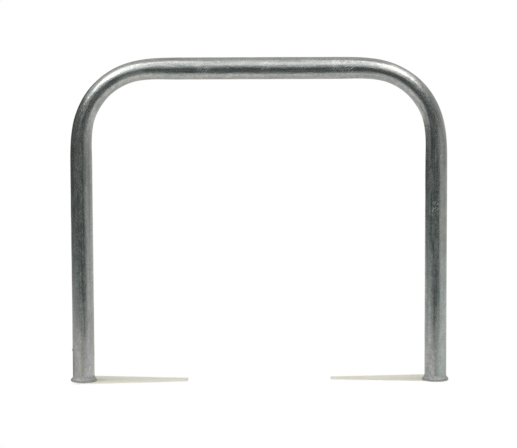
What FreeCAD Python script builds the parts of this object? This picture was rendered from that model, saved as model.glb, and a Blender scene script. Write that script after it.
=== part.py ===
import FreeCAD, Part
import math
import os

# A hoop bike rack in galvanised steel: one tube bent into an arch, with a small round disc welded
# under each leg. Each disc holds a tapped bush, for an anchor stud that is set in the ground.
# Millimetres. X runs along the rail, Y across the hoop and Z up. The origin is on the ground,
# midway between the feet.

# The tube and the arch
tube_diameter = 48.3
tube_wall = 3.2
leg_spacing = 780.0
hoop_height = 714.0
bend_radius = 150.0

# A bend sets in bit by bit: over the easing its curve tightens evenly, from straight to the full
# bend. The axis is walked in short steps.
bend_easing = 88.0
walk_step = 0.5

# The bends were drawn with no mandrel: in the middle of a bend the tube is flatter in the plane of
# the hoop, wider across it, thin outside and thick inside. It is round again a little way along
# each straight.
bend_flattening = 0.10
bend_thinning = 0.09
flattening_lead = 24.0
flattening_rise = 116.0
bend_spans = 16

# The feet. The bead reaches the disc's edge but for a thin margin, where the edge is bevelled.
disc_thickness = 5.0
disc_margin = 0.85
disc_lower_bevel = 1.5
foot_weld_width = 4.0
foot_weld_height = 7.0

# The anchor bushes, tapped M16 all the way through, which also drain and vent the tube
bush_diameter = 24.0
bush_height = 30.0
tapping_drill = 14.0
bush_chamfer = 1.0
bush_weld_leg = 3.5

tube_radius = tube_diameter / 2
disc_radius = tube_radius + foot_weld_width + disc_margin
rail_height = hoop_height - tube_radius
half_spacing = leg_spacing / 2
bend_length = bend_radius * math.pi / 2 + bend_easing
feet = {"left": -half_spacing, "right": half_spacing}

UP = FreeCAD.Vector(0, 0, 1)
ACROSS = FreeCAD.Vector(0, 1, 0)
SIDES = {"left": -1, "right": 1}


def smooth_step(value):
    """0 below 0 and 1 above 1, with a smooth rise between."""
    held = min(max(value, 0.0), 1.0)
    return held * held * (3.0 - 2.0 * held)


def turned(distance):
    """How far the axis has turned from the leg's direction, at a distance past the bend's start."""
    if distance > bend_length / 2:
        return math.pi / 2 - turned(bend_length - distance)
    eased = min(max(distance, 0.0), bend_easing)
    full_bend = max(distance - bend_easing, 0.0)
    return eased**2 / (2.0 * bend_easing * bend_radius) + full_bend / bend_radius


def walk_bend(distance):
    """How far up, and how far in towards the other leg, the axis has gone since the bend's start."""
    steps = max(1, round(distance / walk_step))
    step = distance / steps
    turns = [turned(step * (count + 0.5)) for count in range(steps)]
    up = step * sum(math.cos(turn) for turn in turns)
    inward = step * sum(math.sin(turn) for turn in turns)
    return up, inward


# How far each end of a bend is from the corner where the two straights would meet
bend_reach = walk_bend(bend_length)[0]
leg_top = rail_height - bend_reach
rail_end = half_spacing - bend_reach


def place_on_bend(side, distance):
    """A point on the axis, and the direction out of the bend there, past the bend's start."""
    up, inward = walk_bend(distance)
    turn = turned(distance)
    point = FreeCAD.Vector(side * (half_spacing - inward), 0, leg_top + up)
    outward = FreeCAD.Vector(side * math.cos(turn), 0, math.sin(turn))
    return point, outward


def bend_share(distance):
    """How much of the bend's distortion the tube has, past the bend's start."""
    from_nearer_end = min(distance, bend_length - distance)
    return smooth_step((from_nearer_end + flattening_lead) / (flattening_lead + flattening_rise))


def bend_section(side, distance, inside):
    """The tube's outer or inner outline at one place, an ellipse as long round as the tube is,
    in quarters."""
    share = bend_share(distance)
    in_plane = tube_radius * (1.0 - bend_flattening * share)
    across = math.sqrt(2.0 * tube_radius**2 - in_plane**2)
    point, outward = place_on_bend(side, distance)
    if inside:
        in_plane -= tube_wall
        across -= tube_wall
        point += outward * (tube_wall * bend_thinning * share)
    ellipse = Part.Ellipse(FreeCAD.Vector(), max(across, in_plane), in_plane)
    quarter = math.pi / 2
    quarters = [ellipse.toShape(quarter * count, quarter * (count + 1)) for count in range(4)]
    outline = Part.Wire(quarters)
    turn = FreeCAD.Rotation(ACROSS, outward, ACROSS.cross(outward), "ZXY")
    outline.Placement = FreeCAD.Placement(point, turn)
    return outline


def bend_distances():
    """Where the sections of a bend lie along the axis, from the end of one lead to the other's."""
    whole = bend_length + 2.0 * flattening_lead
    return [whole * count / bend_spans - flattening_lead for count in range(bend_spans + 1)]


def bend_solid(side, inside):
    """One bend with its leads, as a solid bounded by the tube's outer or inner skin."""
    outlines = [bend_section(side, distance, inside) for distance in bend_distances()]
    return Part.makeLoft(outlines, True, False)


def straight_solids(radius):
    """The two legs and the rail, as round bars that end where the bends' leads begin."""
    leg_length = leg_top - flattening_lead - disc_thickness
    bars = []
    for foot_x in feet.values():
        base = FreeCAD.Vector(foot_x, 0, disc_thickness)
        bars.append(Part.makeCylinder(radius, leg_length, base, UP))
    half_rail = rail_end - flattening_lead
    base = FreeCAD.Vector(-half_rail, 0, rail_height)
    bars.append(Part.makeCylinder(radius, 2 * half_rail, base, FreeCAD.Vector(1, 0, 0)))
    return bars


def make_hoop_tube():
    """The whole bent tube, hollow from end to end."""
    skins = []
    for inside in (False, True):
        radius = tube_radius - tube_wall if inside else tube_radius
        spans = straight_solids(radius)
        spans += [bend_solid(side, inside) for side in SIDES.values()]
        skins.append(spans)
    walls = [outer.cut(inner) for outer, inner in zip(*skins)]
    return walls[0].fuse(walls[1:]).Solids[0]


def turn_round(centre_x, corners):
    """A straight-sided outline in the X-Z plane, turned round a leg's axis."""
    points = [FreeCAD.Vector(radius, 0, height) for radius, height in corners]
    face = Part.Face(Part.makePolygon(points + points[:1]))
    turned = face.revolve(FreeCAD.Vector(), UP, 360)
    turned.translate(FreeCAD.Vector(centre_x, 0, 0))
    return turned


def make_foot_disc(centre_x):
    """The round disc under a leg, with bevelled edges and a hole for its bush."""
    hole = bush_diameter / 2
    corners = [
        (hole, 0),
        (disc_radius - disc_lower_bevel, 0),
        (disc_radius, disc_lower_bevel),
        (disc_radius, disc_thickness - disc_margin),
        (disc_radius - disc_margin, disc_thickness),
        (hole, disc_thickness),
    ]
    return turn_round(centre_x, corners)


def make_weld_ring(centre_x, seat_radius, width, height):
    """A fillet bead in the corner between an upright round wall and the disc's top."""
    corners = [
        (seat_radius, disc_thickness),
        (seat_radius + width, disc_thickness),
        (seat_radius, disc_thickness + height),
    ]
    return turn_round(centre_x, corners)


def make_anchor_bush(centre_x):
    """The bush in the disc's middle, flush below and drilled through, with both mouths opened."""
    wall = bush_diameter / 2
    drill = tapping_drill / 2
    mouth = drill + bush_chamfer
    corners = [
        (mouth, 0),
        (wall, 0),
        (wall, bush_height),
        (mouth, bush_height),
        (drill, bush_height - bush_chamfer),
        (drill, bush_chamfer),
    ]
    return turn_round(centre_x, corners)


def make_nodes():
    nodes = {"hoop_tube": make_hoop_tube()}
    for name, centre_x in feet.items():
        nodes[name + "_foot_disc"] = make_foot_disc(centre_x)
        nodes[name + "_foot_weld"] = make_weld_ring(
            centre_x, tube_radius, foot_weld_width, foot_weld_height
        )
        nodes[name + "_anchor_bush"] = make_anchor_bush(centre_x)
        nodes[name + "_bush_weld"] = make_weld_ring(
            centre_x, bush_diameter / 2, bush_weld_leg, bush_weld_leg
        )
    return nodes


os.makedirs("parts", exist_ok=True)
for node_name, solid in make_nodes().items():
    solid.exportStep("parts/" + node_name + ".step")
    print(node_name, solid.ShapeType, len(solid.Solids), solid.isValid(), round(solid.Volume, 1))
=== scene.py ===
import math

import bpy
import numpy as np
from mathutils import Matrix, Vector


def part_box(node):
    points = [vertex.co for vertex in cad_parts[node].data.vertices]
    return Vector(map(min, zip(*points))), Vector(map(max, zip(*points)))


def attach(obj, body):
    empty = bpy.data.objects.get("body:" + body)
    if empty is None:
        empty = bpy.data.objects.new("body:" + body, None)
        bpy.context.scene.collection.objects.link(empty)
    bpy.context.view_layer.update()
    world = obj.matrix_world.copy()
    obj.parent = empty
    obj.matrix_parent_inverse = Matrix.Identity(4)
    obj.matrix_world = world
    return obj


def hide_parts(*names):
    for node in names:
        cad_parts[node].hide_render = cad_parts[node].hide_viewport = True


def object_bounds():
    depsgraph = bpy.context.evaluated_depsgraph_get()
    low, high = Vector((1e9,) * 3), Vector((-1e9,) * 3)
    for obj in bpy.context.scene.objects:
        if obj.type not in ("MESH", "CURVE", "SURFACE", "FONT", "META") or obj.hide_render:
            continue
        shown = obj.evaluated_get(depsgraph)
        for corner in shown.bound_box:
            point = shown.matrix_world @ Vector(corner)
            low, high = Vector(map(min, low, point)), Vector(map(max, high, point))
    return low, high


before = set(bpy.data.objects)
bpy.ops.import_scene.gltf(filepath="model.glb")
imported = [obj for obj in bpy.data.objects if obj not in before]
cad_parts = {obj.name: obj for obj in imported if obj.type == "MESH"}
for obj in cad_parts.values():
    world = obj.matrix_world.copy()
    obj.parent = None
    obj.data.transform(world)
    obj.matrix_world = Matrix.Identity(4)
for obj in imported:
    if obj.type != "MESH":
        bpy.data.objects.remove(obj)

cad_low, cad_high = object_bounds()

# A galvanised hoop bike rack on a pale studio floor. Everything is in metres, in the CAD's frame:
# X along the rail, Y across the hoop, Z up, with the origin on the floor between the feet.

# Sizes read from the frame
disc_low, disc_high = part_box("left_foot_disc")
weld_low, weld_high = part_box("left_foot_weld")
bush_low, bush_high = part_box("left_anchor_bush")
bush_weld_low, bush_weld_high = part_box("left_bush_weld")
LEG_X = -(disc_low.x + disc_high.x) / 2
DISC_RADIUS = (disc_high.x - disc_low.x) / 2
DISC_TOP = disc_high.z
FOOT_BEAD_RADIUS = (weld_high.x - weld_low.x) / 2
FOOT_BEAD_TOP = weld_high.z
BUSH_RADIUS = (bush_high.x - bush_low.x) / 2
BUSH_TOP = bush_high.z
BUSH_BEAD_RADIUS = (bush_weld_high.x - bush_weld_low.x) / 2
BUSH_BEAD_TOP = bush_weld_high.z
HOOP_HEIGHT = round(cad_high.z, 3)

# The tube, as the CAD source has it
TUBE_RADIUS = 0.02415
TUBE_WALL = 0.0032
BEND_RADIUS = 0.150
BEND_EASING = 0.088
BEND_FLATTENING = 0.10
FLATTENING_LEAD = 0.024
FLATTENING_RISE = 0.116
RAIL_Z = HOOP_HEIGHT - TUBE_RADIUS
BEND_LENGTH = BEND_RADIUS * math.pi / 2 + BEND_EASING
WALK_STEP = 0.0005

# How finely the tube's skin is meshed, and how far an edge turns before it is drawn sharp
SEGMENTS_AROUND = 120
RING_SPACING = 0.003
INNER_RING_SPACING = 0.012
SHARP_ANGLE = math.radians(40.0)

# The zinc froze a little wavy, in slow ripples that never stand proud of the tube's size
WAVE_DEPTH = 0.00022
BEND_WAVINESS = 0.6
WAVE_COUNT = 40
WAVES_PER_METRE = (3.0, 16.0)
MOST_WAVES_AROUND = 5
WAVE_SEED = 11

# A drop of zinc froze on the outer side of the left leg
DROP_DISTANCE = 0.0645
DROP_HEIGHT = 0.0014
DROP_LENGTH = 0.0030
DROP_WIDTH = 0.0016
DROP_RING_SPACING = 0.001
DROP_REACH = 3.0 * DROP_LENGTH

# The feet. A few slow waves round each one make its edges a little uneven.
FEET = (("left", -LEG_X), ("right", LEG_X))
FOOT_SEED = 5
FOOT_SEGMENTS_AROUND = 240
UNEVEN_WAVES = range(2, 8)
SEAT_OVERLAP = 0.0002

# A disc's rounded edges, with the turns at which each has points, in degrees, and how steeply the
# unevenness grows towards the rim
DISC_LOWER_ROUNDING = 0.0015
DISC_LOWER_TURNS = (-90, -70, -50, -30, -10)
DISC_TOP_ROUNDING = 0.00085
DISC_TOP_TURNS = (10, 35, 60, 90)
DISC_UNEVENNESS = 0.00025
DISC_UNEVEN_POWER = 4

# Each foot's weld beads: the node, the radius of what the bead sits on, its toe's radius, how high
# it reaches, how much higher it is on the inner side as a share of its rise, and its ripples
BEADS = {
    "_foot_bead": ("_foot_weld", TUBE_RADIUS, FOOT_BEAD_RADIUS, FOOT_BEAD_TOP, 0.15, 66),
    "_bush_bead": ("_bush_weld", BUSH_RADIUS, BUSH_BEAD_RADIUS, BUSH_BEAD_TOP, 0.0, 34),
}
BEAD_ROWS = 12

# A bead's form, as shares of its rise or its width: how uneven its edges are, how far out and up
# its hollow pulls the curve, and how proud its ripples stand
BEAD_TOP_UNEVENNESS = 0.16
BEAD_TOE_UNEVENNESS = 0.06
BEAD_HOLLOW_OUT = 0.25
BEAD_HOLLOW_UP = 0.38
RIPPLE_HEIGHT = 0.035

# How strongly the ripples bow across the bead, and how far they waver round it, in radians
RIPPLE_BOW = 5.0
RIPPLE_WAVER = 0.8

# The bushes' thread: a groove with a level root and slanted flanks, widened at its two mouths
THREAD_PITCH = 0.002
THREAD_MAJOR_RADIUS = 0.008
THREAD_MINOR_RADIUS = 0.007
THREAD_STEPS_PER_TURN = 10
THREAD_ROOT_LEVEL = 1.25
THREAD_FLANK_SLOPE = 2.2
BUSH_SEGMENTS_AROUND = 96
BUSH_MOUTH_RELIEF = 0.0002


def smooth_step(value):
    """0 up to 0 and 1 from 1 on, with a smooth rise between."""
    held = np.clip(value, 0.0, 1.0)
    return held * held * (3.0 - 2.0 * held)


def turned(distance):
    """How far the axis turns within a bend, at distances past the bend's start."""
    nearer = np.clip(np.minimum(distance, BEND_LENGTH - distance), 0.0, None)
    eased = np.minimum(nearer, BEND_EASING)
    from_end = eased**2 / (2.0 * BEND_EASING * BEND_RADIUS) + (nearer - eased) / BEND_RADIUS
    return np.where(distance > BEND_LENGTH / 2, math.pi / 2 - from_end, from_end)


def bend_reach():
    """How far each end of a bend is from the corner where its two straights would meet."""
    steps = round(BEND_LENGTH / WALK_STEP)
    step = BEND_LENGTH / steps
    return step * np.cos(turned(step * (np.arange(steps) + 0.5))).sum()


LEG_LENGTH = RAIL_Z - bend_reach() - DISC_TOP
RAIL_LENGTH = 2 * (LEG_X - bend_reach())
TUBE_LENGTH = 2 * LEG_LENGTH + 2 * BEND_LENGTH + RAIL_LENGTH
BEND_STARTS = (LEG_LENGTH, LEG_LENGTH + BEND_LENGTH + RAIL_LENGTH)


def bend_share(distance):
    """How much of the bends' flattening the tube has at a distance along its axis."""
    share = np.zeros_like(distance)
    for start in BEND_STARTS:
        from_nearer_end = np.minimum(distance - start, start + BEND_LENGTH - distance)
        rise = (from_nearer_end + FLATTENING_LEAD) / (FLATTENING_LEAD + FLATTENING_RISE)
        share = np.maximum(share, smooth_step(rise))
    return share


def heading(distance):
    """How far the axis has turned since the left foot, at distances along it."""
    return sum(turned(distance - start) for start in BEND_STARTS)


def hoop_axis(distance):
    """The tube's axis from the left foot to the right one: points and outward directions, as rows
    of X and Z."""
    walk = np.arange(0.0, TUBE_LENGTH + WALK_STEP, WALK_STEP)
    halfway = heading(walk[:-1] + WALK_STEP / 2)
    x = np.concatenate([[0.0], np.cumsum(np.sin(halfway))]) * WALK_STEP - LEG_X
    z = np.concatenate([[0.0], np.cumsum(np.cos(halfway))]) * WALK_STEP + DISC_TOP
    points = np.stack([np.interp(distance, walk, x), np.interp(distance, walk, z)], axis=1)
    turn = heading(distance)
    outward = np.stack([-np.cos(turn), np.sin(turn)], axis=1)
    return points, outward


def zinc_waves(distance, turn):
    """How far the wavy zinc lies below the tube's full size, at distances along it and turns round
    it."""
    draws = np.random.default_rng(WAVE_SEED)
    along, around = np.meshgrid(distance, turn, indexing="ij")
    total = np.zeros_like(along)
    for _ in range(WAVE_COUNT):
        per_metre = draws.uniform(*WAVES_PER_METRE)
        waves_around = draws.integers(-MOST_WAVES_AROUND, MOST_WAVES_AROUND + 1)
        phase = draws.uniform(0.0, 2.0 * math.pi)
        total += np.cos(2.0 * math.pi * per_metre * along + waves_around * around + phase)
    spread = np.clip(total / math.sqrt(2.0 * WAVE_COUNT), -1.0, 1.0)
    depth = WAVE_DEPTH * (1.0 + BEND_WAVINESS * bend_share(distance))
    return depth[:, None] * (0.5 + 0.5 * spread)


def zinc_drop(distance, turn):
    """How far the frozen drop stands off the left leg's outer side."""
    along = (distance - DROP_DISTANCE) / DROP_LENGTH
    arc = TUBE_RADIUS * (turn - 2.0 * math.pi * (turn > math.pi)) / DROP_WIDTH
    return DROP_HEIGHT * np.outer(np.exp(-(along**2)), np.exp(-(arc**2)))


def tube_rings(distance, inset):
    """Points of the tube's skin at each distance, and the same points on the tube laid straight."""
    points, outward = hoop_axis(distance)
    share = bend_share(distance)
    in_plane = TUBE_RADIUS * (1.0 - BEND_FLATTENING * share)
    across = np.sqrt(2.0 * TUBE_RADIUS**2 - in_plane**2)
    turn = np.linspace(0.0, 2.0 * math.pi, SEGMENTS_AROUND, endpoint=False)
    depth = np.full((len(distance), SEGMENTS_AROUND), inset)
    if inset == 0.0:
        depth = zinc_waves(distance, turn) - zinc_drop(distance, turn)
    out = (in_plane[:, None] - depth) * np.cos(turn)
    side = (across[:, None] - depth) * np.sin(turn)
    rings = np.empty(out.shape + (3,))
    rings[..., 0] = points[:, :1] + outward[:, :1] * out
    rings[..., 1] = side
    rings[..., 2] = points[:, 1:] + outward[:, 1:] * out
    laid = np.empty_like(rings)
    laid[..., 0] = distance[:, None]
    laid[..., 1] = TUBE_RADIUS * np.cos(turn)
    laid[..., 2] = TUBE_RADIUS * np.sin(turn)
    return rings, laid


def ring_faces(ring_count, around):
    """Quads between rings of points, with the last ring joined to the first."""
    faces = []
    for ring in range(ring_count):
        here = ring * around
        there = (ring + 1) % ring_count * around
        for step in range(around):
            after = (step + 1) % around
            faces.append((here + step, here + after, there + after, there + step))
    return faces


def grid_faces(rows, columns):
    """Quads between the points of an open grid, which are given row by row."""
    faces = []
    for row in range(rows - 1):
        for column in range(columns - 1):
            corner = row * columns + column
            faces.append((corner, corner + 1, corner + columns + 1, corner + columns))
    return faces


def new_object(name, points, faces, material):
    """A smooth mesh of these points and faces, in the scene."""
    mesh = bpy.data.meshes.new(name)
    mesh.from_pydata([tuple(p) for p in points], [], faces)
    mesh.validate()
    mesh.shade_smooth()
    mesh.set_sharp_from_angle(angle=SHARP_ANGLE)
    mesh.materials.append(material)
    piece = bpy.data.objects.new(name, mesh)
    bpy.context.scene.collection.objects.link(piece)
    return piece


def store_points(piece, name, values):
    """Keeps three numbers with each point, for the material."""
    attribute = piece.data.attributes.new(name, "FLOAT_VECTOR", "POINT")
    attribute.data.foreach_set("vector", np.asarray(values, np.float32).ravel())


def store_values(piece, name, values):
    """Keeps one number with each point, for the material."""
    attribute = piece.data.attributes.new(name, "FLOAT", "POINT")
    attribute.data.foreach_set("value", np.asarray(values, np.float32).ravel())


# Materials

class Nodes:
    """Builds the nodes of a material or a world. An input may be a number, a colour or another
    node's output."""

    def __init__(self, owner):
        self.owner = owner
        owner.use_nodes = True
        self.tree = owner.node_tree
        self.tree.nodes.clear()

    def add(self, kind, inputs=None, output=0, **settings):
        """Adds a node with these inputs and settings, and gives the output that is asked for."""
        node = self.tree.nodes.new("ShaderNode" + kind)
        for key, value in settings.items():
            setattr(node, key, value)
        for key, value in (inputs or {}).items():
            if isinstance(value, bpy.types.NodeSocket):
                self.tree.links.new(value, node.inputs[key])
            else:
                node.inputs[key].default_value = value
        return node.outputs[output] if node.outputs else None

    def maths(self, operation, first, second=0.0):
        """One step of arithmetic on one value or two."""
        return self.add("Math", {0: first, 1: second}, operation=operation)

    def add_up(self, total, patterns, weights):
        """The total plus the named patterns, each times its weight."""
        for name, weight in weights.items():
            total = self.maths("ADD", total, self.maths("MULTIPLY", patterns[name], weight))
        return total

    def remap(self, value, low, high, to_low, to_high):
        """The value's range, smoothly mapped to another one and held at its ends."""
        sockets = {
            "Value": value,
            "From Min": low,
            "From Max": high,
            "To Min": to_low,
            "To Max": to_high,
        }
        return self.add("MapRange", sockets, interpolation_type="SMOOTHSTEP")

    def drawn_out(self, place, lengthwise):
        """The place with its first coordinate scaled, which draws a pattern out along the tube."""
        sockets = {"Vector": place, "Scale": (lengthwise, 1.0, 1.0)}
        return self.add("Mapping", sockets, vector_type="POINT")

    def noise(self, place, fineness, detail, roughness=0.55):
        """Cloudy noise from about 0 to 1, with its middle at 0.5."""
        sockets = {"Vector": place, "Scale": fineness, "Detail": detail, "Roughness": roughness}
        return self.add("TexNoise", sockets)

    def mix(self, share, first, second):
        """A colour between two others."""
        sockets = {0: share, 6: first, 7: second}
        return self.add("Mix", sockets, output=2, data_type="RGBA", clamp_factor=True)

    def window(self, value, centre, half):
        """1 round a centre, fading to 0 at half of the window's width."""
        off_centre = self.maths("ABSOLUTE", self.maths("SUBTRACT", value, centre))
        return self.remap(off_centre, half * 0.5, half, 1.0, 0.0)

    def finish(self, shader, output="OutputMaterial"):
        """Gives the shader to the material or the world, and returns that."""
        self.add(output, {"Surface": shader})
        return self.owner

    def finish_metal(self, colour, metallic, rough, relief, strength, distance):
        """The material of a metal with this fine relief."""
        bump = self.add("Bump", {"Strength": strength, "Distance": distance, "Height": relief})
        sockets = {"Base Color": colour, "Metallic": metallic, "Roughness": rough, "Normal": bump}
        return self.finish(self.add("BsdfPrincipled", sockets))


def material_nodes(name):
    """The nodes of a new material, still empty."""
    return Nodes(bpy.data.materials.new(name))


ZINC = (0.418, 0.426, 0.412, 1.0)
ZINC_COOL = (0.358, 0.394, 0.390, 1.0)
ZINC_WARM = (0.432, 0.427, 0.396, 1.0)
ZINC_LILAC = (0.411, 0.409, 0.434, 1.0)
# ZINC_DULL and ZINC_BRIGHT are the zinc's own duller and brighter spots; some patches below also use
# them for painted shade and painted highlight
ZINC_DULL = (0.29, 0.31, 0.305, 1.0)
ZINC_BRIGHT = (0.50, 0.515, 0.50, 1.0)
ZINC_MINT = (0.350, 0.436, 0.425, 1.0)
ZINC_PALE_MINT = (0.396, 0.430, 0.424, 1.0)
ZINC_CREAM = (0.480, 0.475, 0.450, 1.0)
ZINC_OLIVE = (0.412, 0.425, 0.362, 1.0)
ZINC_SCRATCHED = (0.60, 0.61, 0.60, 1.0)

# Patches on the tube: how far along it and round it each one's middle is, and how far it reaches
# each way. Round the tube, 0 is the outer side, and the front is negative. A frosted patch also
# has how much rougher it is, and a hued one its colour, which in some only lightens or dulls it.
# The bright, dull and cream patches lie along the highlight and the dark band as the camera sees
# them. They are partly the zinc's own bright and dull spots, and partly painted highlight and
# painted shade for small waves in the zinc that the mesh lacks. The mint, olive, lilac, cool and
# pale mint ones are the zinc's own tints.
SCUFFS = (
    (0.886, -0.037, 0.021, 0.015),
    (1.022, -0.034, 0.014, 0.015),
    (1.189, -0.037, 0.036, 0.018),
    (0.420, 0.030, 0.022, 0.014),
    (1.100, 0.040, 0.030, 0.016),
)
SCUFFS_THE_OTHER_WAY = (
    (1.632, -0.042, 0.015, 0.009),
    (1.540, 0.026, 0.018, 0.012),
)
SCUFF_PITCH = 0.0064
SCUFF_WOBBLE = 0.014
SCUFF_COLOUR_SHARE = 0.6
SCUFF_ROUGHNESS = 0.20
SCUFF_DEPTH = 0.08
FROSTED = (
    (0.728, -0.042, 0.038, 0.011, 0.20),
    (0.600, 0.040, 0.060, 0.016, 0.20),
    (0.600, -0.024, 0.100, 0.022, 0.04),
    (1.500, -0.061, 0.040, 0.010, 0.12),
)
TINT_AND_PAINTED_LIGHT_PATCHES = (
    (1.000, -0.030, 0.230, 0.024, ZINC_PALE_MINT),
    (0.235, -0.034, 0.055, 0.010, ZINC_MINT),
    (1.958, -0.026, 0.110, 0.014, ZINC_MINT),
    (1.730, -0.051, 0.230, 0.011, ZINC_MINT),
    (1.800, -0.020, 0.110, 0.018, ZINC_MINT),
    (0.640, 0.030, 0.080, 0.016, ZINC_MINT),
    (0.055, -0.034, 0.080, 0.007, ZINC_OLIVE),
    (1.820, 0.035, 0.090, 0.016, ZINC_OLIVE),
    (0.070, -0.052, 0.090, 0.016, ZINC_LILAC),
    (0.060, -0.019, 0.080, 0.008, ZINC_LILAC),
    (1.960, -0.045, 0.080, 0.011, ZINC_LILAC),
    (0.200, 0.028, 0.090, 0.016, ZINC_LILAC),
    (0.350, -0.054, 0.250, 0.014, ZINC_COOL),
    (1.006, -0.032, 0.060, 0.012, ZINC_DULL),
    (1.716, -0.018, 0.030, 0.009, ZINC_DULL),
    (0.915, -0.030, 0.080, 0.022, ZINC_DULL),
    (1.278, -0.056, 0.045, 0.014, ZINC_DULL),
    (0.640, -0.041, 0.170, 0.016, ZINC_BRIGHT),
    (0.640, -0.054, 0.070, 0.012, ZINC_BRIGHT),
    (1.082, -0.024, 0.060, 0.026, ZINC_BRIGHT),
    (1.300, -0.028, 0.100, 0.024, ZINC_CREAM),
    (1.500, -0.063, 0.060, 0.012, ZINC_BRIGHT),
    (0.724, -0.035, 0.050, 0.020, ZINC_BRIGHT),
    (0.245, -0.041, 0.060, 0.010, ZINC_BRIGHT),
    (0.160, -0.030, 0.030, 0.012, ZINC_DULL),
    (1.215, -0.038, 0.035, 0.012, ZINC_DULL),
    (1.562, -0.051, 0.032, 0.011, ZINC_DULL),
)
TINT_AND_PAINTED_LIGHT_SHARE = 0.8

# The zinc's patterns on the tube: how much each is scaled along it, how fine it is, its detail and
# its roughness
TUBE_PATTERNS = {
    "clouds": (0.6, 24.0, 2.0, 0.55),
    "hues": (0.5, 37.0, 2.0, 0.55),
    "smudges": (0.45, 44.0, 1.0, 0.55),
    "blotches": (0.5, 100.0, 2.0, 0.50),
    "mottles": (0.9, 165.0, 1.0, 0.55),
    "speckle": (0.8, 290.0, 2.0, 0.55),
    "streaks": (0.035, 260.0, 3.0, 0.55),
    "fine_streaks": (0.03, 800.0, 2.0, 0.55),
    "grain": (1.0, 1300.0, 2.0, 0.55),
}

# How far from a foot the mottling starts to grow and is full, and how strong it is at each
MOTTLING = (0.28, 0.62, 0.62, 1.30)

# Mottled layers of colour. Each starts at the pattern's first value and is full at its second, and
# covers this share of the zinc.
TUBE_LAYERS = (
    ("smudges", 0.50, 0.64, 0.50, ZINC_DULL),
    ("smudges", 0.46, 0.34, 0.45, ZINC_BRIGHT),
    ("blotches", 0.50, 0.66, 0.50, ZINC_DULL),
    ("mottles", 0.52, 0.66, 0.45, ZINC_DULL),
    ("mottles", 0.46, 0.32, 0.50, ZINC_BRIGHT),
    ("speckle", 0.53, 0.67, 0.55, ZINC_DULL),
)

# What the patterns add to the roughness: two values of the pattern, and what each adds
TUBE_ROUGHNESS = (
    ("blotches", 0.35, 0.65, 0.19, 0.28),
    ("streaks", 0.38, 0.62, -0.03, 0.05),
    ("mottles", 0.35, 0.65, -0.03, 0.05),
)

# How high the patterns stand, in millimetres: those that grow with the mottling, and the others
MOTTLED_RELIEF = {"blotches": 0.42, "mottles": 0.13, "speckle": 0.07}
EVEN_RELIEF = {"streaks": 0.12, "fine_streaks": 0.012, "grain": 0.003}

TUBE_METALLIC = 0.95

# The materials of the feet: how fine their clouds are, and how rough, dull and metallic they are
FOOT_MATERIALS = {
    "galvanised_disc": (160.0, 0.50, 0.2, 0.75),
    "galvanised_weld": (260.0, 0.65, 0.3, 0.45),
    "galvanised_bush": (200.0, 0.32, 0.0, 0.95),
}


def patch(make, along, around, centre, side, half_length, half_width):
    """1 in the middle of a patch, fading to 0 at its edge."""
    lengthwise = make.window(along, centre, half_length)
    return make.maths("MULTIPLY", lengthwise, make.window(around, side, half_width))


def patches(make, along, around, rows):
    """1 in the middle of any of these patches, and 0 outside them all."""
    share = 0.0
    for row in rows:
        share = make.maths("MAXIMUM", share, patch(make, along, around, *row))
    return share


def scratches(make, place, slant, reach):
    """Broken parallel scratches at the slant, within the reach."""
    wobble = make.maths("MULTIPLY", make.noise(place, 60.0, detail=1.0), SCUFF_WOBBLE)
    phase = make.maths("MULTIPLY", make.maths("ADD", slant, wobble), 2.0 * math.pi / SCUFF_PITCH)
    lines = make.remap(make.maths("SINE", phase), -0.1, 0.8, 0.0, 1.0)
    broken = make.remap(make.noise(place, 120.0, detail=2.0), 0.40, 0.58, 0.15, 1.0)
    return make.maths("MULTIPLY", make.maths("MULTIPLY", lines, broken), reach)


def tube_scuffs(make, place, along, around):
    """How scratched the tube is, from 0 to 1."""
    one_way = make.maths("SUBTRACT", along, around)
    other_way = make.maths("ADD", along, around)
    first = scratches(make, place, one_way, patches(make, along, around, SCUFFS))
    second = scratches(make, place, other_way, patches(make, along, around, SCUFFS_THE_OTHER_WAY))
    return make.maths("MAXIMUM", first, second)


def tube_colour(make, patterns, mottling, along, around, scuffs):
    """Clouds of two greys under faint hues, patches of tint, painted highlight and painted shade,
    mottled layers, streaks and scuffs.
    """
    colour = make.mix(make.remap(patterns["clouds"], 0.42, 0.58, 0.0, 1.0), ZINC_COOL, ZINC_WARM)
    colour = make.mix(make.remap(patterns["hues"], 0.50, 0.64, 0.0, 0.9), colour, ZINC_LILAC)
    # Patches of the zinc's own tints, and bright, dull and cream ones of painted highlight and
    # painted shade
    for *row, hue in TINT_AND_PAINTED_LIGHT_PATCHES:
        share = make.maths("MULTIPLY", patch(make, along, around, *row), TINT_AND_PAINTED_LIGHT_SHARE)
        colour = make.mix(share, colour, hue)
    for name, start, full, share, other in TUBE_LAYERS:
        strength = make.maths("MULTIPLY", mottling, share)
        nearness = make.remap(patterns[name], start, full, 0.0, 1.0)
        colour = make.mix(make.maths("MULTIPLY", nearness, strength), colour, other)
    colour = make.mix(make.remap(patterns["streaks"], 0.42, 0.62, 0.0, 0.60), colour, ZINC)
    colour = make.mix(make.remap(patterns["streaks"], 0.48, 0.34, 0.0, 0.50), colour, ZINC_DULL)
    return make.mix(make.maths("MULTIPLY", scuffs, SCUFF_COLOUR_SHARE), colour, ZINC_SCRATCHED)


def tube_roughness(make, patterns, along, around, scuffs):
    """How rough the zinc is, most where it is scuffed or frosted."""
    rough = 0.0
    for name, *ends in TUBE_ROUGHNESS:
        rough = make.maths("ADD", rough, make.remap(patterns[name], *ends))
    rough = make.maths("ADD", rough, make.maths("MULTIPLY", scuffs, SCUFF_ROUGHNESS))
    for *row, rougher in FROSTED:
        frosted = patch(make, along, around, *row)
        rough = make.maths("ADD", rough, make.maths("MULTIPLY", frosted, rougher))
    return rough


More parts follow.
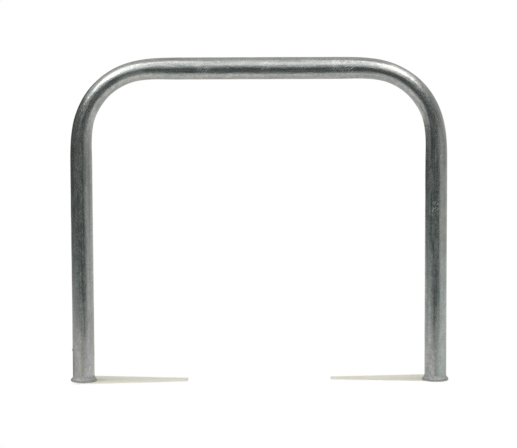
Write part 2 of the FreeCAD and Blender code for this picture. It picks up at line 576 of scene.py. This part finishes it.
def tube_relief(make, patterns, mottling, scuffs):
    """The zinc's fine relief, in millimetres."""
    relief = make.maths("MULTIPLY", make.add_up(0.0, patterns, MOTTLED_RELIEF), mottling)
    relief = make.add_up(relief, patterns, EVEN_RELIEF)
    return make.maths("SUBTRACT", relief, make.maths("MULTIPLY", scuffs, SCUFF_DEPTH))


def galvanised_tube():
    """Hot-dip zinc on a drawn tube: cloudy, streaked lengthwise, scuffed here and there, and more
    mottled the farther it is from the feet."""
    make = material_nodes("galvanised_tube")
    place = make.add("Attribute", output="Vector", attribute_name="laid")
    along = make.add("SeparateXYZ", {"Vector": place}, output="X")
    outward = make.add("SeparateXYZ", {"Vector": place}, output="Y")
    sideways = make.add("SeparateXYZ", {"Vector": place}, output="Z")
    around = make.maths("MULTIPLY", make.maths("ARCTAN2", sideways, outward), TUBE_RADIUS)
    from_foot = make.maths("MINIMUM", along, make.maths("SUBTRACT", TUBE_LENGTH, along))
    mottling = make.remap(from_foot, *MOTTLING)
    patterns = {}
    for name, (lengthwise, fineness, detail, roughness) in TUBE_PATTERNS.items():
        patterns[name] = make.noise(make.drawn_out(place, lengthwise), fineness, detail, roughness)
    scuffs = tube_scuffs(make, place, along, around)
    colour = tube_colour(make, patterns, mottling, along, around, scuffs)
    rough = tube_roughness(make, patterns, along, around, scuffs)
    relief = tube_relief(make, patterns, mottling, scuffs)
    return make.finish_metal(colour, TUBE_METALLIC, rough, relief, strength=1.0, distance=0.001)


def galvanised_plain(name, fineness, roughness, dullness, metallic):
    """The same zinc on the feet's small pieces, mottled at a smaller scale, and dull on the welds."""
    make = material_nodes(name)
    place = make.add("TexCoord", output="Object")
    clouds = make.noise(place, fineness, detail=4.0)
    grain = make.noise(place, 1200.0, detail=2.0)
    tint = make.mix(make.remap(clouds, 0.35, 0.65, 0.0, 1.0), ZINC_LILAC, ZINC_WARM)
    dulled = make.remap(clouds, 0.45, 0.65, dullness, dullness + 0.4)
    colour = make.mix(dulled, tint, ZINC_DULL)
    rough = make.remap(clouds, 0.3, 0.7, roughness - 0.06, roughness + 0.08)
    relief = make.maths("ADD", clouds, make.maths("MULTIPLY", grain, 0.2))
    return make.finish_metal(colour, metallic, rough, relief, strength=0.4, distance=0.0003)


# Pieces

def carry(piece, node):
    """Lets a piece stand in for its node of the frame."""
    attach(piece, "root")
    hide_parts(node)


def make_tube():
    """The bent tube's wall, outside and inside, as one closed mesh."""
    outer = np.linspace(0.0, TUBE_LENGTH, round(TUBE_LENGTH / RING_SPACING) + 1)
    near_drop = np.arange(-DROP_REACH, DROP_REACH, DROP_RING_SPACING) + DROP_DISTANCE
    outer = np.unique(np.concatenate([outer, near_drop]))
    inner = np.linspace(TUBE_LENGTH, 0.0, round(TUBE_LENGTH / INNER_RING_SPACING) + 1)
    outer_rings, outer_laid = tube_rings(outer, 0.0)
    inner_rings, inner_laid = tube_rings(inner, TUBE_WALL)
    rings = np.concatenate([outer_rings, inner_rings])
    laid = np.concatenate([outer_laid, inner_laid])
    faces = ring_faces(len(rings), SEGMENTS_AROUND)
    piece = new_object("tube", rings.reshape(-1, 3), faces, galvanised_tube())
    store_points(piece, "laid", laid.reshape(-1, 3))
    carry(piece, "hoop_tube")


def turned_piece(name, foot, radius, height, material):
    """A closed ring round a leg's axis, from a loop of radii and heights at each angle round it."""
    around = radius.shape[1]
    angle = np.linspace(0.0, 2.0 * math.pi, around, endpoint=False)
    points = np.stack([foot + radius * np.cos(angle), radius * np.sin(angle), height], axis=2)
    return new_object(name, points.reshape(-1, 3), ring_faces(len(radius), around), material)


def uneven(draws, around):
    """A slow random wave round a ring, from -1 to 1."""
    angle = np.linspace(0.0, 2.0 * math.pi, around, endpoint=False)
    wave = np.zeros(around)
    for count in UNEVEN_WAVES:
        wave += np.cos(count * angle + draws.uniform(0.0, 2.0 * math.pi))
    return wave / np.abs(wave).max()


def corner_arc(radius, height, rounding, turns):
    """Points of a rounded corner, whose arc has this centre, at the given turns in degrees."""
    turn = np.radians(turns)
    return [(radius + rounding * math.cos(t), height + rounding * math.sin(t)) for t in turn]


def make_disc(side, foot, draws, material):
    """A foot's disc, with zinc-rounded edges that are a little uneven."""
    lower, top = DISC_LOWER_ROUNDING, DISC_TOP_ROUNDING
    loop = [(BUSH_RADIUS, 0.0)]
    loop += corner_arc(DISC_RADIUS - lower, lower, lower, DISC_LOWER_TURNS)
    loop += corner_arc(DISC_RADIUS - top, DISC_TOP - top, top, DISC_TOP_TURNS)
    loop += [(BUSH_RADIUS, DISC_TOP)]
    radii, heights = np.array(loop).T
    ones = np.ones(FOOT_SEGMENTS_AROUND)
    inward = DISC_UNEVENNESS * (0.5 + 0.5 * uneven(draws, FOOT_SEGMENTS_AROUND))
    outward_share = np.clip((radii - BUSH_RADIUS) / (DISC_RADIUS - BUSH_RADIUS), 0.0, 1.0)
    radius = np.outer(radii, ones) - np.outer(outward_share**DISC_UNEVEN_POWER, inward)
    piece = turned_piece(side + "_disc", foot, radius, np.outer(heights, ones), material)
    carry(piece, side + "_foot_disc")


def make_bead(name, foot, seat, toe, top, lean, ripples, draws, material):
    """A weld bead in the corner over the disc: concave, rippled, and uneven at both its edges."""
    around = FOOT_SEGMENTS_AROUND
    angle = np.linspace(0.0, 2.0 * math.pi, around, endpoint=False)
    width, rise = toe - seat, top - DISC_TOP
    inner_side = np.cos(angle) * -np.sign(foot)
    top_edge = top + rise * (BEAD_TOP_UNEVENNESS * uneven(draws, around) + lean * inner_side)
    toe_edge = toe - width * BEAD_TOE_UNEVENNESS * (1.0 + uneven(draws, around))
    share = np.linspace(0.0, 1.0, BEAD_ROWS)[:, None]
    start, middle, end = (1.0 - share) ** 2, 2.0 * share * (1.0 - share), share**2
    hollow_radius, hollow_height = seat + BEAD_HOLLOW_OUT * width, DISC_TOP + BEAD_HOLLOW_UP * rise
    radius = start * (seat - SEAT_OVERLAP) + middle * hollow_radius + end * toe_edge
    height = start * top_edge + middle * hollow_height + end * (DISC_TOP - SEAT_OVERLAP)
    waver = RIPPLE_WAVER * uneven(draws, around)
    wave = np.cos(ripples * angle + RIPPLE_BOW * (share - 0.5) ** 2 + waver)
    proud = RIPPLE_HEIGHT * width * wave * np.sin(math.pi * share)
    radius = np.vstack([radius + proud, np.full((1, around), seat - SEAT_OVERLAP)])
    height = np.vstack([height + proud, np.full((1, around), DISC_TOP - SEAT_OVERLAP)])
    return turned_piece(name, foot, radius[::-1], height[::-1], material)


def make_bush(side, foot, material):
    """The bush under a leg, with its M16 thread cut right through."""
    steps = round(BUSH_TOP / THREAD_PITCH * THREAD_STEPS_PER_TURN)
    angle = np.linspace(0.0, 2.0 * math.pi, BUSH_SEGMENTS_AROUND, endpoint=False)
    level = np.linspace(BUSH_TOP, 0.0, steps + 1)
    climb = level[:, None] / THREAD_PITCH - angle / (2.0 * math.pi)
    from_root = np.abs(2.0 * (climb % 1.0) - 1.0)
    groove = np.clip(THREAD_ROOT_LEVEL - THREAD_FLANK_SLOPE * from_root, 0.0, 1.0)
    bore = THREAD_MINOR_RADIUS + (THREAD_MAJOR_RADIUS - THREAD_MINOR_RADIUS) * groove
    from_mouth = np.minimum(level, BUSH_TOP - level)[:, None]
    bore = np.maximum(bore, THREAD_MAJOR_RADIUS + BUSH_MOUTH_RELIEF - from_mouth)
    ones = np.ones(BUSH_SEGMENTS_AROUND)
    wall = np.array([BUSH_RADIUS, BUSH_RADIUS])
    radius = np.vstack([bore, np.outer(wall, ones)])
    height = np.outer(np.concatenate([level, [0.0, BUSH_TOP]]), ones)
    piece = turned_piece(side + "_bush", foot, radius, height, material)
    carry(piece, side + "_anchor_bush")


def make_feet():
    """Each foot's disc, its bush, and the weld beads that hold them."""
    zinc = {name: galvanised_plain(name, *values) for name, values in FOOT_MATERIALS.items()}
    draws = np.random.default_rng(FOOT_SEED)
    for side, foot in FEET:
        make_disc(side, foot, draws, zinc["galvanised_disc"])
        make_bush(side, foot, zinc["galvanised_bush"])
        for bead, (node, *form) in BEADS.items():
            piece = make_bead(side + bead, foot, *form, draws, zinc["galvanised_weld"])
            carry(piece, side + node)


# The studio: a pale floor under a white sky, soft lamps, and dark flags that only the zinc sees

WHITE = (1.0, 1.0, 1.0, 1.0)
WORLD_LEVEL = 0.35

# The height that the elevations of lamps, flags and card are measured from
EYE_HEIGHT = 0.5

FLOOR_SIZE = 30.0
FLOOR_COLOUR = (0.77, 0.757, 0.655, 1.0)

# The floor's shading shows in a strip that runs inward from each foot and narrows, and the floor
# is white round them
STRIP_CENTRES = (0.013, 0.029)
STRIP_HALF_WIDTHS = (0.057, 0.047)
STRIP_LENGTH = 0.400
STRIP_END = 0.232
STRIP_SOFTNESS = 0.002

# The camera, as fitted to the hoop's outline, with its focal length in pixels of the picture
CAMERA_PLACE = (0.015, -3.5, 0.615)
CAMERA_PITCH = math.radians(-4.36)
CAMERA_YAW = math.radians(0.26)
CAMERA_ROLL = math.radians(-0.22)
FOCAL_PIXELS = 1593.0
IMAGE_WIDTH = 517
SENSOR_WIDTH = 36.0

# Each softbox: azimuth from straight in front, positive to the right, elevation, half of its
# width and height in degrees as the hoop sees them, tilt, and brightness
LAMP_DISTANCE = 6.0
SOFTBOXES = {
    "left_softbox": (-57.5, 50.5, 22.0, 23.0, 19.0, 2.15),
    "right_softbox": (48.0, 56.0, 15.0, 21.5, -26.0, 2.05),
    "front_softbox": (-4.0, 44.0, 21.0, 14.0, 0.0, 0.47),
    "far_right_softbox": (103.0, 54.0, 17.0, 9.0, 0.0, 0.85),
}

# Lamps beside the hoop, low down, that the zinc doesn't show: each foot's shadow runs inward
SIDE_LAMPS = {
    "left_side_lamp": (-84.0, 36.0, 7.0, 7.0, 0.0, 6.0),
    "right_side_lamp": (84.0, 36.0, 7.0, 7.0, 0.0, 6.0),
}

# The flags stand in a ring. Each row: azimuth and how high the flag reaches, in degrees, how light
# it is near the floor, and how light it is from a little way up
SURROUND_RADIUS = 8.0
SURROUND_LOW = 10.0
SURROUND = (
    (-180.0, 38.0, 0.62, 0.58),
    (-168.0, 38.0, 0.55, 0.58),
    (-160.0, 28.0, 0.12, 0.14),
    (-154.0, 24.0, 0.05, 0.04),
    (-135.0, 24.0, 0.06, 0.04),
    (-110.0, 26.0, 0.08, 0.08),
    (-90.0, 30.0, 0.08, 0.10),
    (-70.0, 30.0, 0.08, 0.11),
    (-45.0, 21.0, 0.08, 0.12),
    (-20.0, 15.0, 0.10, 0.13),
    (-12.0, 12.0, 0.09, 0.11),
    (12.0, 10.0, 0.09, 0.11),
    (20.0, 15.0, 0.10, 0.11),
    (26.0, 20.0, 0.20, 0.09),
    (31.0, 25.0, 0.40, 0.22),
    (60.0, 38.0, 0.46, 0.27),
    (95.0, 42.0, 0.44, 0.46),
    (120.0, 43.0, 0.60, 0.62),
    (142.0, 42.0, 0.68, 0.62),
    (160.0, 44.0, 0.80, 0.52),
    (180.0, 38.0, 0.90, 0.50),
)

# The flags' hue where they are dark: azimuth, red and blue, with green at 1. It is full at the
# hued tone, and gone at the unhued one.
FLAG_HUES = (
    (-180.0, 0.98, 0.84),
    (-112.0, 0.96, 0.84),
    (-85.0, 0.84, 0.96),
    (-50.0, 0.85, 0.99),
    (30.0, 0.92, 1.00),
    (60.0, 0.98, 0.97),
    (180.0, 0.98, 0.96),
)
HUED_TONE = 0.1
UNHUED_TONE = 0.6
CARD_HUE = (0.84, 1.0, 1.0, 1.0)
SHADE_HUE = (0.82, 1.0, 1.0, 1.0)
WARM_WHITE = (1.0, 0.985, 0.965, 1.0)
CEILING_HUE = (1.0, 0.96, 0.92, 1.0)

# A card behind the camera dims the light that the rail's front shows, least at its upper edge
CARD_PLACE_Y = -5.5
CARD_HALF_WIDTH = 0.8
CARD_ELEVATIONS = (4.0, 14.0, 24.0, 34.0)
CARD_TONES = (0.32, 0.40, 0.60, 0.92)

# The shade that lies on the floor in front of the hoop and to its left, and more faintly to its
# right and behind it, is a grid just above the floor. Each side has the distance at which its
# shade starts, and the distance over which it deepens. In front it starts farther off near the
# legs, and fades out to the right along a slanting line.
SHADE_SIZE = 8.0
SHADE_STEP = 0.1
SHADE_TONE = 0.10
SHADE_HEIGHT = 0.002
SHADE_FRONT = (0.36, 0.26)
SHADE_FRONT_OF_LEGS = 0.55
NEAR_LEGS = (0.25, LEG_X)
FRONT_FADE_LEVEL = 1.42
FRONT_FADE_SLANT = 0.5
FRONT_FADE_WIDTH = 0.9
SHADE_LEFT = (0.75, 1.1)
SHADE_RIGHT = (1.1, 1.5)
SHADE_RIGHT_SHARE = 0.41
SHADE_BEHIND = (0.12, 0.2)
SHADE_BEHIND_SHARES = (0.28, 0.10)
SHADE_BEHIND_REACH = (0.35, 1.0)

# Finer grids round the feet hold their contact shade and the legs' shadows. Each shadow: azimuth,
# half of its angle, how dark it is at the foot, and how far it reaches
FOOT_SHADE_STEP = 0.01
FOOT_SHADE_HEIGHT = 0.003
FOOT_SHADE_FRONT = 0.72
FOOT_SHADE_BACK = 0.70
FOOT_SHADE_OUTWARD = 0.80
FOOT_SHADE_INWARD = 0.38
CONTACT_SHADE = 0.85
CONTACT_FADE = 0.016
LEG_SHADOWS = {
    "left": ((-2.0, 19.0, 0.38, 2.5), (-140.0, 50.0, 0.90, 1.0)),
    "right": ((1.0, 18.0, 0.38, 2.5), (-115.0, 45.0, 0.32, 0.5), (140.0, 38.0, 0.42, 0.9)),
}

# A low board in front of the hoop, which only the rail and the bends look down on, is a sheet of
# painted shade, not a real board: it shades what they show of the floor from nearer the hoop
BOARD_HEIGHT = 0.42
BOARD_HALF_WIDTH = 0.24
BOARD_DEPTH = 1.2
BOARD_STEP = 0.02
BOARD_FRONT = (0.36, 0.16)
BOARD_LIGHTEST_SHARE = 0.25

# A pale ceiling, from just in front of the hoop to far behind it
CEILING_TONE = 0.68
CEILING_HEIGHT = 7.0
CEILING_CORNERS = ((-16.0, -0.6), (16.0, -0.6), (16.0, 14.0), (-16.0, 14.0))


def seen_ray(make):
    """1 for the rays that show the white background: camera, glossy and transmission ones."""
    rays = make.tree.nodes.new("ShaderNodeLightPath")
    shown = make.maths("MAXIMUM", rays.outputs["Is Camera Ray"], rays.outputs["Is Glossy Ray"])
    return make.maths("MAXIMUM", shown, rays.outputs["Is Transmission Ray"])


def make_world():
    """A sky that looks white and lights the scene less than it looks."""
    make = Nodes(bpy.data.worlds.new("studio"))
    strength = make.remap(seen_ray(make), 0.0, 1.0, WORLD_LEVEL, 1.0)
    shader = make.add("Background", {"Color": WHITE, "Strength": strength})
    bpy.context.scene.world = make.finish(shader, "OutputWorld")


def flat_piece(name, corners, height, material):
    """A level piece with these corners."""
    points = [(x, y, height) for x, y in corners]
    piece = new_object(name, points, [tuple(range(len(points)))], material)
    return piece


def strip_share(make):
    """1 in the strips of floor that show the feet's shadows, and 0 on the white round them."""
    place = make.add("TexCoord", output="Object")
    along = make.add("SeparateXYZ", {"Vector": place}, output="X")
    across = make.add("SeparateXYZ", {"Vector": place}, output="Y")
    at_right = make.maths("GREATER_THAN", along, 0.0)
    centre = make.remap(at_right, 0.0, 1.0, *STRIP_CENTRES)
    full_width = make.remap(at_right, 0.0, 1.0, *STRIP_HALF_WIDTHS)
    from_centre = make.maths("ABSOLUTE", make.maths("SUBTRACT", across, centre))
    inward = make.maths("SUBTRACT", LEG_X, make.maths("ABSOLUTE", along))
    taper = make.maths("SUBTRACT", 1.0, make.maths("DIVIDE", inward, STRIP_LENGTH))
    half_width = make.maths("MULTIPLY", taper, full_width)
    inside = make.maths("SUBTRACT", half_width, from_centre)
    share = make.remap(inside, 0.0, STRIP_SOFTNESS, 0.0, 1.0)
    before_end = make.remap(inward, STRIP_END - STRIP_SOFTNESS, STRIP_END, 1.0, 0.0)
    past_foot = make.remap(inward, -DISC_RADIUS, 0.0, 0.0, 1.0)
    return make.maths("MULTIPLY", share, make.maths("MULTIPLY", before_end, past_foot))


def make_floor():
    """A diffuse floor that shows the feet's shadows and is white round them."""
    make = material_nodes("floor")
    shaded = make.add("BsdfDiffuse", {"Color": FLOOR_COLOUR})
    white = make.add("Emission", {"Strength": 1.0})
    hidden = make.maths("SUBTRACT", 1.0, strip_share(make))
    share = make.maths("MULTIPLY", seen_ray(make), hidden)
    material = make.finish(make.add("MixShader", {0: share, 1: shaded, 2: white}))
    half = FLOOR_SIZE / 2
    flat_piece("floor", [(-half, -half), (half, -half), (half, half), (-half, half)], 0.0, material)


def glossy_only(piece):
    """Shown only in reflections, as a studio's dark flags are kept out of the picture."""
    piece.visible_camera = False
    piece.visible_diffuse = False
    piece.visible_shadow = False
    piece.visible_transmission = False
    piece.visible_volume_scatter = False


def flag_material(name, tone=None, hue=None, light=WHITE):
    """Light of one tone, or of the mesh's own tones, with its hue where it is dark."""
    make = material_nodes(name)
    if tone is None:
        tone = make.add("Attribute", output="Fac", attribute_name="tone")
    if hue is None:
        hue = make.add("Attribute", output="Vector", attribute_name="hue")
    colour = make.mix(make.remap(tone, HUED_TONE, UNHUED_TONE, 0.0, 1.0), hue, light)
    return make.finish(make.add("Emission", {"Color": colour, "Strength": tone}))


def make_flag(name, points, faces, tones, hue=None, light=WHITE):
    """A piece that only reflections show, with a tone at each point."""
    piece = new_object(name, points, faces, flag_material(name, hue=hue, light=light))
    store_values(piece, "tone", tones)
    glossy_only(piece)
    return piece


def make_surround():
    """The ring of flags, from the floor up to their tops."""
    azimuths, *columns = np.array(SURROUND).T
    around = np.arange(azimuths[0], azimuths[-1] + 1.0, 1.0)
    tops, low_tones, high_tones = (np.interp(around, azimuths, column) for column in columns)
    x = SURROUND_RADIUS * np.sin(np.radians(around))
    y = -SURROUND_RADIUS * np.cos(np.radians(around))
    points = list(zip(x, y, np.zeros_like(x)))
    for elevation in (np.full_like(tops, SURROUND_LOW), tops):
        points += list(zip(x, y, EYE_HEIGHT + SURROUND_RADIUS * np.tan(np.radians(elevation))))
    tones = np.concatenate([low_tones, high_tones, high_tones])
    piece = make_flag("surround", points, grid_faces(3, len(around)), tones, light=WARM_WHITE)
    azimuths, reds, blues = np.array(FLAG_HUES).T
    hues = np.ones((len(around), 3))
    hues[:, 0] = np.interp(around, azimuths, reds)
    hues[:, 2] = np.interp(around, azimuths, blues)
    store_points(piece, "hue", np.concatenate([hues, hues, hues]))


def beyond(distance, start, softness):
    """0 up to the start, and nearing 1 beyond it over the softness."""
    return 1.0 - np.exp(-np.maximum(distance - start, 0.0) / softness)


def front_start(x, between_legs):
    """How far in front of the hoop a shade starts, at a distance from its middle."""
    return np.interp(np.abs(x), NEAR_LEGS, (between_legs, SHADE_FRONT_OF_LEGS))


def shade_share(x, y):
    """How dark the floor's shade is at a place, from 0 to 1."""
    fade = np.clip(FRONT_FADE_LEVEL - (x + y * FRONT_FADE_SLANT) / FRONT_FADE_WIDTH, 0.0, 1.0)
    front = beyond(-y, front_start(x, SHADE_FRONT[0]), SHADE_FRONT[1]) * fade
    left = beyond(-x, *SHADE_LEFT)
    right = beyond(x, *SHADE_RIGHT) * SHADE_RIGHT_SHARE
    behind_share = np.interp(np.abs(x), SHADE_BEHIND_REACH, SHADE_BEHIND_SHARES)
    behind = beyond(y, *SHADE_BEHIND) * behind_share
    return np.max([front, left, right, behind], axis=0)


def foot_shade_share(x, y, side, foot):
    """The same round one foot, with its contact shade and its leg's shadows."""
    from_axis = np.hypot(x - foot, y)
    azimuth = np.degrees(np.arctan2(x - foot, -y))
    share = shade_share(x, y)
    contact = CONTACT_SHADE * np.exp(-np.maximum(from_axis - DISC_RADIUS, 0.0) / CONTACT_FADE)
    share = np.maximum(share, contact)
    for centre, half_angle, darkness, reach in LEG_SHADOWS[side]:
        off_centre = (azimuth - centre + 180.0) % 360.0 - 180.0
        spread = np.exp(-((off_centre / half_angle) ** 2))
        share = np.maximum(share, darkness * spread * np.clip(1.0 - from_axis / reach, 0.0, 1.0))
    return share


def board_share(x, y):
    """How dark the board is, from 0 to 1, by the place on the floor that the rail sees through it."""
    on_floor = y * RAIL_Z / (RAIL_Z - BOARD_HEIGHT)
    return beyond(-on_floor, front_start(x, BOARD_FRONT[0]), BOARD_FRONT[1])


def make_shade(name, x, y, height, share, least_share=-1.0):
    """A level grid of shade with these places and shares, and no faces where it is too light."""
    points = np.stack([x, y, np.full_like(x, height)], axis=2).reshape(-1, 3)
    shares = share.ravel()
    faces = [face for face in grid_faces(*x.shape) if shares[face[0]] > least_share]
    tones = 1.0 - (1.0 - SHADE_TONE) * shares
    make_flag(name, points, faces, tones, hue=SHADE_HUE, light=WARM_WHITE)


def make_shades():
    """The floor's shade, the board, and the finer shade round each foot."""
    steps = np.arange(-SHADE_SIZE, SHADE_SIZE + SHADE_STEP / 2, SHADE_STEP)
    x, y = np.meshgrid(steps, steps)
    make_shade("shade", x, y, SHADE_HEIGHT, shade_share(x, y))
    # The board: a sheet of painted shade that the rail and the bends see in place of the floor's
    # shade
    board_steps = np.arange(-BOARD_HALF_WIDTH, BOARD_HALF_WIDTH + BOARD_STEP / 2, BOARD_STEP)
    x, y = np.meshgrid(board_steps, np.arange(-BOARD_DEPTH, 0.0, BOARD_STEP))
    make_shade("board", x, y, BOARD_HEIGHT, board_share(x, y), BOARD_LIGHTEST_SHARE)
    outward = np.arange(-FOOT_SHADE_INWARD, FOOT_SHADE_OUTWARD, FOOT_SHADE_STEP)
    backward = np.arange(-FOOT_SHADE_FRONT, FOOT_SHADE_BACK, FOOT_SHADE_STEP)
    for side, foot in FEET:
        x, y = np.meshgrid(np.sort(foot + np.sign(foot) * outward), backward)
        share = foot_shade_share(x, y, side, foot)
        make_shade(side + "_foot_shade", x, y, FOOT_SHADE_HEIGHT, share)


def make_card():
    """The card behind the camera, as a column of quads."""
    heights = EYE_HEIGHT - CARD_PLACE_Y * np.tan(np.radians(CARD_ELEVATIONS))
    sides = (-CARD_HALF_WIDTH, CARD_HALF_WIDTH)
    points = [(x, CARD_PLACE_Y, height) for height in heights for x in sides]
    make_flag("card", points, grid_faces(len(heights), 2), np.repeat(CARD_TONES, 2), hue=CARD_HUE)


def make_ceiling():
    """A pale ceiling that only reflections show."""
    ceiling = flag_material("ceiling", CEILING_TONE, CEILING_HUE, CEILING_HUE)
    glossy_only(flat_piece("ceiling", CEILING_CORNERS, CEILING_HEIGHT, ceiling))


def towards(azimuth, elevation):
    """The direction of an azimuth and an elevation, in degrees."""
    turn, lift = math.radians(azimuth), math.radians(elevation)
    level = math.cos(lift)
    return Vector((math.sin(turn) * level, -math.cos(turn) * level, math.sin(lift)))


def make_lamps(lamps, shown):
    """Soft lamps that face the hoop, each as bright as its level all over."""
    for name, (azimuth, elevation, half_wide, half_high, tilt, level) in lamps.items():
        data = bpy.data.lights.new(name, "AREA")
        data.shape = "RECTANGLE"
        data.size = 2.0 * LAMP_DISTANCE * math.tan(math.radians(half_wide))
        data.size_y = 2.0 * LAMP_DISTANCE * math.tan(math.radians(half_high))
        data.energy = level * math.pi * data.size * data.size_y
        lamp = bpy.data.objects.new(name, data)
        bpy.context.scene.collection.objects.link(lamp)
        away = towards(azimuth, elevation)
        facing = away.to_track_quat("Z", "Y").to_matrix().to_4x4()
        place = Matrix.Translation(Vector((0.0, 0.0, EYE_HEIGHT)) + away * LAMP_DISTANCE)
        lamp.matrix_world = place @ facing @ Matrix.Rotation(math.radians(tilt), 4, "Z")
        lamp.visible_camera = False
        lamp.visible_glossy = shown


def make_camera():
    """The camera that was fitted to the hoop's outline."""
    data = bpy.data.cameras.new("camera")
    data.sensor_width = SENSOR_WIDTH
    data.lens = FOCAL_PIXELS / IMAGE_WIDTH * SENSOR_WIDTH
    camera = bpy.data.objects.new("camera", data)
    bpy.context.scene.collection.objects.link(camera)
    turn = Matrix.Rotation(CAMERA_YAW, 4, "Z")
    tip = Matrix.Rotation(math.pi / 2 + CAMERA_PITCH, 4, "X")
    roll = Matrix.Rotation(CAMERA_ROLL, 4, "Z")
    camera.matrix_world = Matrix.Translation(CAMERA_PLACE) @ turn @ tip @ roll
    bpy.context.scene.camera = camera


make_camera()
make_tube()
make_feet()
make_world()
make_floor()
make_surround()
make_shades()
make_card()
make_ceiling()
make_lamps(SOFTBOXES, True)
make_lamps(SIDE_LAMPS, False)
bpy.context.scene.view_settings.view_transform = "Standard"
